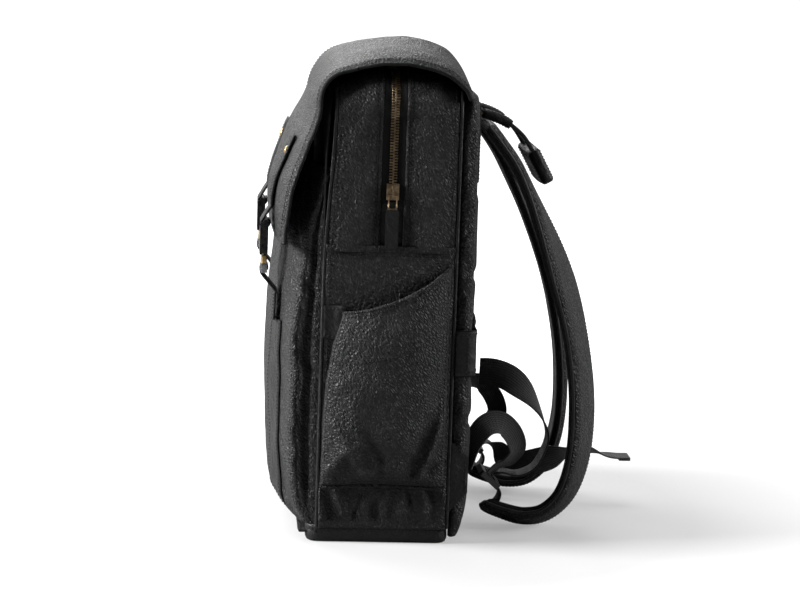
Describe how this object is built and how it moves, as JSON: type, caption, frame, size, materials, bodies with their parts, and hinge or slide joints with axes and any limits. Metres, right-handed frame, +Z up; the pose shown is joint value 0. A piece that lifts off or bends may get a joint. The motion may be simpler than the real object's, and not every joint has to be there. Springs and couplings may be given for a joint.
{
  "type": "leather backpack",
  "caption": "Black leather commuter backpack: flap with buckles, zipped clamshell body, side bottle pockets, padded back and shoulder straps, grab handle.",
  "frame": {"origin": "middle of the base's underside, between the side panels and between the base's front and rear edges", "axes": "+Z up; -Y towards the front with the flap and buckles; +Y towards the wearer's back with the shoulder straps; +X to the wearer's right"},
  "size_m": [0.3346, 0.3552, 0.4291],
  "materials": {
    "leather": "pebble-grain, satin",
    "smooth_leather": "smooth, satin, painted edges",
    "board": "matte sheet",
    "lining": "fine plain weave",
    "zip_tape": "herringbone tape",
    "zip_brass": "antique brass",
    "spacer_mesh": "padded spacer mesh",
    "webbing": "matte woven webbing",
    "black_metal": "gloss black",
    "brass": "polished brass",
    "black_plastic": "satin moulded"
  },
  "bodies": {
    "root": {"anchor_webbing_left": "webbing", "anchor_webbing_right": "webbing", "back_board": "board", "back_gusset": "leather", "back_pad": "spacer_mesh", "back_panel": "lining", "base_board": "board", "base_panel": "smooth_leather", "buckle_lower_bars": "black_metal", "buckle_tongue_left": "black_metal", "buckle_tongue_right": "black_metal", "corner_tabs": "smooth_leather", "front_pocket_floor": "leather", "front_pocket_gusset_left": "leather", "front_pocket_gusset_right": "leather", "front_pocket_panel": "leather", "front_strips": "smooth_leather", "front_wall": "lining", "gusset_front": "leather", "gusset_rear": "leather", "handle_rings": "brass", "laptop_sleeve": "lining", "lower_straps": "smooth_leather", "luggage_band": "webbing", "organiser_pocket": "lining", "pocket_tabs": "smooth_leather", "side_panel_left": "leather", "side_panel_right": "leather", "side_pocket_left": "leather", "side_pocket_right": "leather", "strap_yoke": "smooth_leather", "zip_end_patches": "smooth_leather", "zip_tape": "zip_tape", "zip_teeth": "zip_brass"},
    "flap_top": {"flap_top": "leather"},
    "flap_front": {"flap_front": "leather", "flap_strap_left": "smooth_leather", "flap_strap_right": "smooth_leather", "flap_rivets": "brass"},
    "handle": {"handle_legs": "smooth_leather", "handle_grip": "smooth_leather"},
    "buckle_left": {"buckle_housing_left": "black_metal"},
    "clip_left_outer": {"buckle_clip_left_outer": "brass"},
    "clip_left_inner": {"buckle_clip_left_inner": "brass"},
    "zip_slider_left": {"zip_slider_left": "zip_brass"},
    "zip_pull_left": {"zip_bail_left": "zip_brass", "zip_pull_left": "smooth_leather"},
    "shoulder_left": {"shoulder_strap_left": "spacer_mesh", "ladder_lock_left": "black_plastic", "webbing_tail_left": "webbing"},
    "buckle_right": {"buckle_housing_right": "black_metal"},
    "clip_right_outer": {"buckle_clip_right_outer": "brass"},
    "clip_right_inner": {"buckle_clip_right_inner": "brass"},
    "zip_slider_right": {"zip_slider_right": "zip_brass"},
    "zip_pull_right": {"zip_bail_right": "zip_brass", "zip_pull_right": "smooth_leather"},
    "shoulder_right": {"shoulder_strap_right": "spacer_mesh", "ladder_lock_right": "black_plastic", "webbing_tail_right": "webbing"}
  },
  "joints": [
    {"name": "flap_hinge", "type": "hinge", "parent": "root", "child": "flap_top", "pos_m": [0, 0.07, 0.3945], "axis": [-1, 0, 0], "range_deg": [0, 95]},
    {"name": "flap_fold", "type": "hinge", "parent": "flap_top", "child": "flap_front", "pos_m": [0, -0.06, 0.399], "axis": [-1, 0, 0], "range_deg": [0, 60]},
    {"name": "handle_swing", "type": "hinge", "parent": "root", "child": "handle", "pos_m": [0, 0.0865, 0.371], "axis": [-1, 0, 0], "range_deg": [-95, 0]},
    {"name": "buckle_tilt_left", "type": "hinge", "parent": "flap_front", "child": "buckle_left", "pos_m": [-0.086, -0.1035, 0.274], "axis": [-1, 0, 0], "range_deg": [0, 60]},
    {"name": "clip_press_left_outer", "type": "slide", "parent": "root", "child": "clip_left_outer", "axis": [1, 0, 0], "range_m": [0, 0.0025], "stiffness_N_per_m": 800, "springref_m": -0.001},
    {"name": "clip_press_left_inner", "type": "slide", "parent": "root", "child": "clip_left_inner", "axis": [-1, 0, 0], "range_m": [0, 0.0025], "stiffness_N_per_m": 800, "springref_m": -0.001},
    {"name": "zip_run_left", "type": "slide", "parent": "root", "child": "zip_slider_left", "axis": [0, 0, 1], "range_m": [0, 0.056]},
    {"name": "zip_pull_swing_left", "type": "hinge", "parent": "zip_slider_left", "child": "zip_pull_left", "pos_m": [-0.1479, 0.004, 0.3062], "axis": [0, 1, 0], "range_deg": [0, 120]},
    {"name": "shoulder_swing_left", "type": "hinge", "parent": "root", "child": "shoulder_left", "pos_m": [-0.08, 0.0885, 0.365], "axis": [1, 0, 0], "range_deg": [0, 18], "deforming": ["anchor_webbing_left"]},
    {"name": "buckle_tilt_right", "type": "hinge", "parent": "flap_front", "child": "buckle_right", "pos_m": [0.086, -0.1035, 0.274], "axis": [-1, 0, 0], "range_deg": [0, 60]},
    {"name": "clip_press_right_outer", "type": "slide", "parent": "root", "child": "clip_right_outer", "axis": [-1, 0, 0], "range_m": [0, 0.0025], "stiffness_N_per_m": 800, "springref_m": -0.001},
    {"name": "clip_press_right_inner", "type": "slide", "parent": "root", "child": "clip_right_inner", "axis": [1, 0, 0], "range_m": [0, 0.0025], "stiffness_N_per_m": 800, "springref_m": -0.001},
    {"name": "zip_run_right", "type": "slide", "parent": "root", "child": "zip_slider_right", "axis": [0, 0, 1], "range_m": [0, 0.056]},
    {"name": "zip_pull_swing_right", "type": "hinge", "parent": "zip_slider_right", "child": "zip_pull_right", "pos_m": [0.1479, 0.004, 0.3062], "axis": [0, -1, 0], "range_deg": [0, 120]},
    {"name": "shoulder_swing_right", "type": "hinge", "parent": "root", "child": "shoulder_right", "pos_m": [0.08, 0.0885, 0.365], "axis": [1, 0, 0], "range_deg": [0, 18], "deforming": ["anchor_webbing_right"]}
  ],
  "couplings": [
    {"joint": "clip_press_left_inner", "follows": "clip_press_left_outer", "ratio": 1},
    {"joint": "clip_press_right_inner", "follows": "clip_press_right_outer", "ratio": 1}
  ]
}
